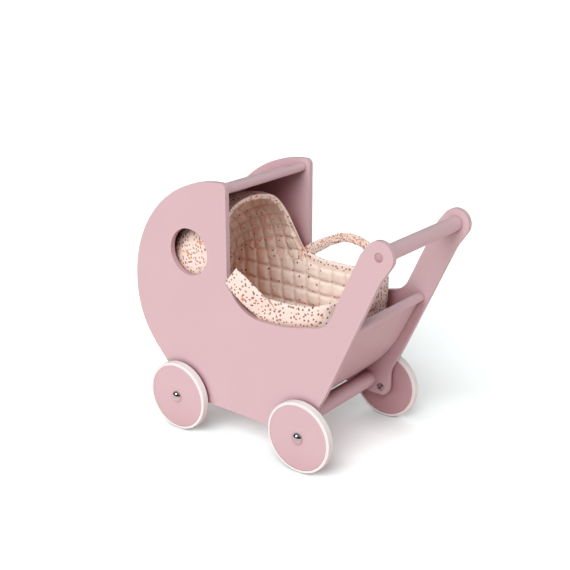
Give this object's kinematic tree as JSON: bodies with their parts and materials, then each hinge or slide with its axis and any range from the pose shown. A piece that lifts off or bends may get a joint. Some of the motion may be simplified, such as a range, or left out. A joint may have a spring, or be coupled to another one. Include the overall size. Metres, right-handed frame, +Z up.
{
  "type": "doll pram",
  "caption": "Painted wooden doll pram with cut-out side panels, bent sheet body, push bar, rubber-tyred wheels and a soft quilted carrycot that lifts out.",
  "frame": {"origin": "on the floor under the middle of the pram's box", "axes": "+X along the pram from the hood to the push bar, +Y to the right of the person pushing, +Z up"},
  "size_m": [0.516, 0.287, 0.447],
  "materials": {
    "painted_wood": "satin paint",
    "pale_rubber": "matte",
    "bright_chrome": "polished",
    "zinc_steel": "plated",
    "pink_plastic": "semi-gloss",
    "printed_cotton": "woven cotton with a small scattered print",
    "quilted_cotton": "quilted woven cotton"
  },
  "bodies": {
    "frame": {"left_side_panel": "painted_wood", "right_side_panel": "painted_wood", "body_sheet": "painted_wood", "hood_dowel": "painted_wood", "tail_dowel": "painted_wood", "front_cross_dowel": "painted_wood", "rear_cross_dowel": "painted_wood", "push_bar": "painted_wood", "left_bar_screw": "zinc_steel", "right_bar_screw": "zinc_steel", "left_screw_cap": "pink_plastic", "right_screw_cap": "pink_plastic", "front_left_axle_bolt": "zinc_steel", "front_left_spacer": "zinc_steel", "front_left_cap_nut": "bright_chrome", "front_right_axle_bolt": "zinc_steel", "front_right_spacer": "zinc_steel", "front_right_cap_nut": "bright_chrome", "rear_left_axle_bolt": "zinc_steel", "rear_left_spacer": "zinc_steel", "rear_left_cap_nut": "bright_chrome", "rear_right_axle_bolt": "zinc_steel", "rear_right_spacer": "zinc_steel", "rear_right_cap_nut": "bright_chrome"},
    "front_left_wheel": {"front_left_wheel_disc": "painted_wood", "front_left_tyre": "pale_rubber"},
    "front_right_wheel": {"front_right_wheel_disc": "painted_wood", "front_right_tyre": "pale_rubber"},
    "rear_left_wheel": {"rear_left_wheel_disc": "painted_wood", "rear_left_tyre": "pale_rubber"},
    "rear_right_wheel": {"rear_right_wheel_disc": "painted_wood", "rear_right_tyre": "pale_rubber"},
    "carrycot": {"carrycot_tub": "quilted_cotton", "carrycot_base_pad": "quilted_cotton", "carrycot_rim_band": "printed_cotton", "carrycot_hood": "quilted_cotton"},
    "left_carry_handle": {"carrycot_left_handle": "printed_cotton"},
    "right_carry_handle": {"carrycot_right_handle": "printed_cotton"}
  },
  "joints": [
    {"name": "front_left_wheel_spin", "type": "hinge", "parent": "frame", "child": "front_left_wheel", "pos_m": [-0.1556, -0.1298, 0.0605], "axis": [0, 1, 0], "continuous": true},
    {"name": "front_right_wheel_spin", "type": "hinge", "parent": "frame", "child": "front_right_wheel", "pos_m": [-0.1556, 0.1298, 0.0605], "axis": [0, 1, 0], "continuous": true},
    {"name": "rear_left_wheel_spin", "type": "hinge", "parent": "frame", "child": "rear_left_wheel", "pos_m": [0.1036, -0.1298, 0.0605], "axis": [0, 1, 0], "continuous": true},
    {"name": "rear_right_wheel_spin", "type": "hinge", "parent": "frame", "child": "rear_right_wheel", "pos_m": [0.1036, 0.1298, 0.0605], "axis": [0, 1, 0], "continuous": true},
    {"name": "carrycot_lift", "type": "slide", "parent": "frame", "child": "carrycot", "axis": [0.4226, 0, 0.9063], "range_m": [0, 0.02]},
    {"name": "left_carry_handle_swing", "type": "hinge", "parent": "carrycot", "child": "left_carry_handle", "pos_m": [-0.004, -0.101, 0.2813], "axis": [1, 0, 0], "range_deg": [-60, 0]},
    {"name": "right_carry_handle_swing", "type": "hinge", "parent": "carrycot", "child": "right_carry_handle", "pos_m": [0.02, 0.101, 0.2813], "axis": [1, 0, 0], "range_deg": [-80, 70]}
  ]
}
